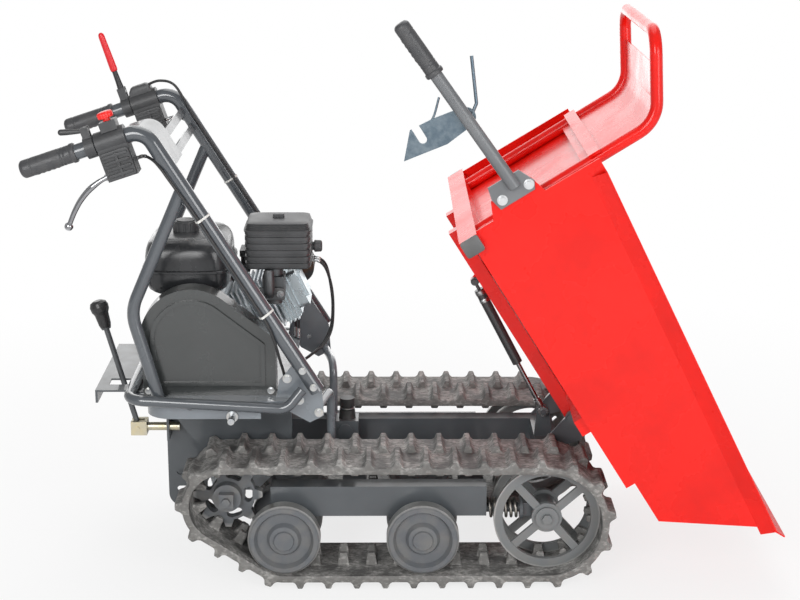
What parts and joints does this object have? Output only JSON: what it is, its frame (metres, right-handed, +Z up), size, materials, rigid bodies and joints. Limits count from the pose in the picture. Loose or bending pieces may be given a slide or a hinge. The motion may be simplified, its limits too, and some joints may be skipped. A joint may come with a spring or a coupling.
{
  "type": "tracked power carrier",
  "caption": "Walk-behind tracked power carrier with petrol engine, handlebar controls and a forward-tipping red skip, shown tipped",
  "frame": {"origin": "centre of the bounding box on the ground plane", "axes": "+X forward (towards the tipped skip), +Y to the far side of the picture, +Z up"},
  "size_m": [1.5585, 0.673, 1.1907],
  "materials": {
    "slate_paint": "satin",
    "track_rubber": "matte",
    "spring_steel": "satin",
    "cast_alloy": "satin",
    "zinc_steel": "satin",
    "black_plastic": "matte",
    "black_paint": "satin",
    "black_rubber": "matte",
    "red_paint": "gloss",
    "chromed_bar": "gloss",
    "red_plastic": "gloss"
  },
  "bodies": {
    "chassis": {"frame_rails": "slate_paint", "cross_tubes": "slate_paint", "hinge_towers": "slate_paint", "rear_skirt": "slate_paint", "track_frame_near": "slate_paint", "track_frame_far": "slate_paint", "idler_yokes": "slate_paint", "engine_tray": "slate_paint", "guard_rail": "slate_paint", "handle_tube_near": "slate_paint", "handle_tube_far": "slate_paint", "handle_struts": "slate_paint", "console_panel": "slate_paint", "gate_plate": "slate_paint", "track_near": "track_rubber", "track_far": "track_rubber", "tension_springs": "spring_steel", "gearbox": "cast_alloy", "crankcase": "cast_alloy", "cylinder_barrel": "cast_alloy", "cylinder_head": "cast_alloy", "carburettor": "cast_alloy", "fasteners": "zinc_steel", "fuel_tank": "black_plastic", "air_filter": "black_plastic", "fan_housing": "black_plastic", "control_housings": "black_plastic", "belt_cover": "black_paint", "muffler": "black_paint", "drive_belt": "black_rubber", "buffer": "black_rubber", "spark_plug": "black_rubber", "grips": "black_rubber", "control_cables": "black_rubber"},
    "skip": {"skip_tub": "red_paint", "skip_underframe": "red_paint", "loop_handle": "red_paint", "tip_lever": "slate_paint", "lever_grip": "black_rubber"},
    "latch": {"latch_hook": "zinc_steel"},
    "strut_rod_body": {"strut_rod": "zinc_steel"},
    "strut_cylinder_body": {"strut_cylinder": "black_paint"},
    "sprocket_near_body": {"sprocket_near": "slate_paint"},
    "sprocket_far_body": {"sprocket_far": "slate_paint"},
    "idler_near_body": {"idler_near": "slate_paint"},
    "idler_far_body": {"idler_far": "slate_paint"},
    "roller_near_rear_body": {"roller_near_rear": "slate_paint"},
    "roller_near_front_body": {"roller_near_front": "slate_paint"},
    "roller_far_rear_body": {"roller_far_rear": "slate_paint"},
    "roller_far_front_body": {"roller_far_front": "slate_paint"},
    "crank_pulley_body": {"crank_pulley": "zinc_steel"},
    "input_pulley_body": {"input_pulley": "zinc_steel"},
    "steering_lever_near_body": {"steering_lever_near": "chromed_bar"},
    "steering_lever_far_body": {"steering_lever_far": "chromed_bar"},
    "throttle_lever_body": {"throttle_lever": "black_plastic"},
    "stop_button_body": {"stop_button": "red_plastic"},
    "clutch_lever_body": {"clutch_lever": "red_plastic"},
    "shift_shaft_body": {"shift_shaft": "zinc_steel"},
    "gear_lever_body": {"gear_lever": "black_plastic"},
    "fuel_cap_body": {"fuel_cap": "black_plastic"}
  },
  "joints": [
    {"name": "tip", "type": "hinge", "parent": "chassis", "child": "skip", "pos_m": [0.359, 0, 0.308], "axis": [0, 1, 0], "range_deg": [-58, 0]},
    {"name": "latch_turn", "type": "hinge", "parent": "skip", "child": "latch", "pos_m": [0.11136, -0.3025, 0.99755], "axis": [0, 1, 0], "range_deg": [-20, 0], "stiffness_Nm_per_rad": 0.5},
    {"name": "strut_swing", "type": "hinge", "parent": "chassis", "child": "strut_rod_body", "pos_m": [0.298, -0.05, 0.305], "axis": [0, 1, 0], "range_deg": [-70, 0]},
    {"name": "strut_stroke", "type": "slide", "parent": "strut_rod_body", "child": "strut_cylinder_body", "axis": [-0.4611, 0, 0.8874], "range_m": [-0.033, 0]},
    {"name": "drive_near", "type": "hinge", "parent": "chassis", "child": "sprocket_near_body", "pos_m": [-0.381, -0.22, 0.183], "axis": [0, 1, 0], "continuous": true},
    {"name": "idler_near_turn", "type": "hinge", "parent": "chassis", "child": "idler_near_body", "pos_m": [0.291, -0.22, 0.1424], "axis": [0, 1, 0], "continuous": true},
    {"name": "roller_near_rear_turn", "type": "hinge", "parent": "chassis", "child": "roller_near_rear_body", "pos_m": [-0.26, -0.22, 0.1064], "axis": [0, 1, 0], "continuous": true},
    {"name": "roller_near_front_turn", "type": "hinge", "parent": "chassis", "child": "roller_near_front_body", "pos_m": [0.03, -0.22, 0.1064], "axis": [0, 1, 0], "continuous": true},
    {"name": "drive_far", "type": "hinge", "parent": "chassis", "child": "sprocket_far_body", "pos_m": [-0.381, 0.22, 0.183], "axis": [0, 1, 0], "continuous": true},
    {"name": "idler_far_turn", "type": "hinge", "parent": "chassis", "child": "idler_far_body", "pos_m": [0.291, 0.22, 0.1424], "axis": [0, 1, 0], "continuous": true},
    {"name": "roller_far_rear_turn", "type": "hinge", "parent": "chassis", "child": "roller_far_rear_body", "pos_m": [-0.26, 0.22, 0.1064], "axis": [0, 1, 0], "continuous": true},
    {"name": "roller_far_front_turn", "type": "hinge", "parent": "chassis", "child": "roller_far_front_body", "pos_m": [0.03, 0.22, 0.1064], "axis": [0, 1, 0], "continuous": true},
    {"name": "crank_turn", "type": "hinge", "parent": "chassis", "child": "crank_pulley_body", "pos_m": [-0.447, -0.196, 0.515], "axis": [0, 1, 0], "continuous": true},
    {"name": "input_turn", "type": "hinge", "parent": "chassis", "child": "input_pulley_body", "pos_m": [-0.322, -0.196, 0.448], "axis": [0, 1, 0], "continuous": true},
    {"name": "steer_near", "type": "hinge", "parent": "chassis", "child": "steering_lever_near_body", "pos_m": [-0.5853, -0.252, 0.87737], "axis": [0, 1, 0], "range_deg": [0, 20], "stiffness_Nm_per_rad": 1},
    {"name": "steer_far", "type": "hinge", "parent": "chassis", "child": "steering_lever_far_body", "pos_m": [-0.5853, 0.252, 0.87737], "axis": [0, 1, 0], "range_deg": [0, 20], "stiffness_Nm_per_rad": 1},
    {"name": "throttle", "type": "hinge", "parent": "chassis", "child": "throttle_lever_body", "pos_m": [-0.64171, -0.252, 0.96194], "axis": [0, 1, 0], "range_deg": [-10, 40]},
    {"name": "stop_press", "type": "slide", "parent": "chassis", "child": "stop_button_body", "axis": [-0.314, 0, 0.9494], "range_m": [-0.004, 0], "stiffness_N_per_m": 800},
    {"name": "clutch", "type": "hinge", "parent": "chassis", "child": "clutch_lever_body", "pos_m": [-0.64139, 0.252, 0.96415], "axis": [0, 1, 0], "range_deg": [-70, 0]},
    {"name": "shift_select", "type": "hinge", "parent": "chassis", "child": "shift_shaft_body", "pos_m": [-0.583, -0.1, 0.29], "axis": [1, 0, 0], "range_deg": [0, 11]},
    {"name": "shift_lever", "type": "hinge", "parent": "shift_shaft_body", "child": "gear_lever_body", "pos_m": [-0.583, -0.1, 0.29], "axis": [0, 1, 0], "range_deg": [-8, 8]},
    {"name": "cap_turn", "type": "hinge", "parent": "chassis", "child": "fuel_cap_body", "pos_m": [-0.474, -0.032, 0.71], "axis": [0, 0, 1], "range_deg": [0, 90]}
  ],
  "couplings": [
    {"joint": "strut_swing", "follows": "tip", "ratio": 1.1572},
    {"joint": "strut_stroke", "follows": "tip", "m_per_rad": 0.030925},
    {"joint": "idler_near_turn", "follows": "drive_near", "ratio": 0.66782},
    {"joint": "roller_near_rear_turn", "follows": "drive_near", "ratio": 1.0052},
    {"joint": "roller_near_front_turn", "follows": "drive_near", "ratio": 1.0052},
    {"joint": "idler_far_turn", "follows": "drive_far", "ratio": 0.66782},
    {"joint": "roller_far_rear_turn", "follows": "drive_far", "ratio": 1.0052},
    {"joint": "roller_far_front_turn", "follows": "drive_far", "ratio": 1.0052},
    {"joint": "input_turn", "follows": "crank_turn", "ratio": 0.88889}
  ]
}
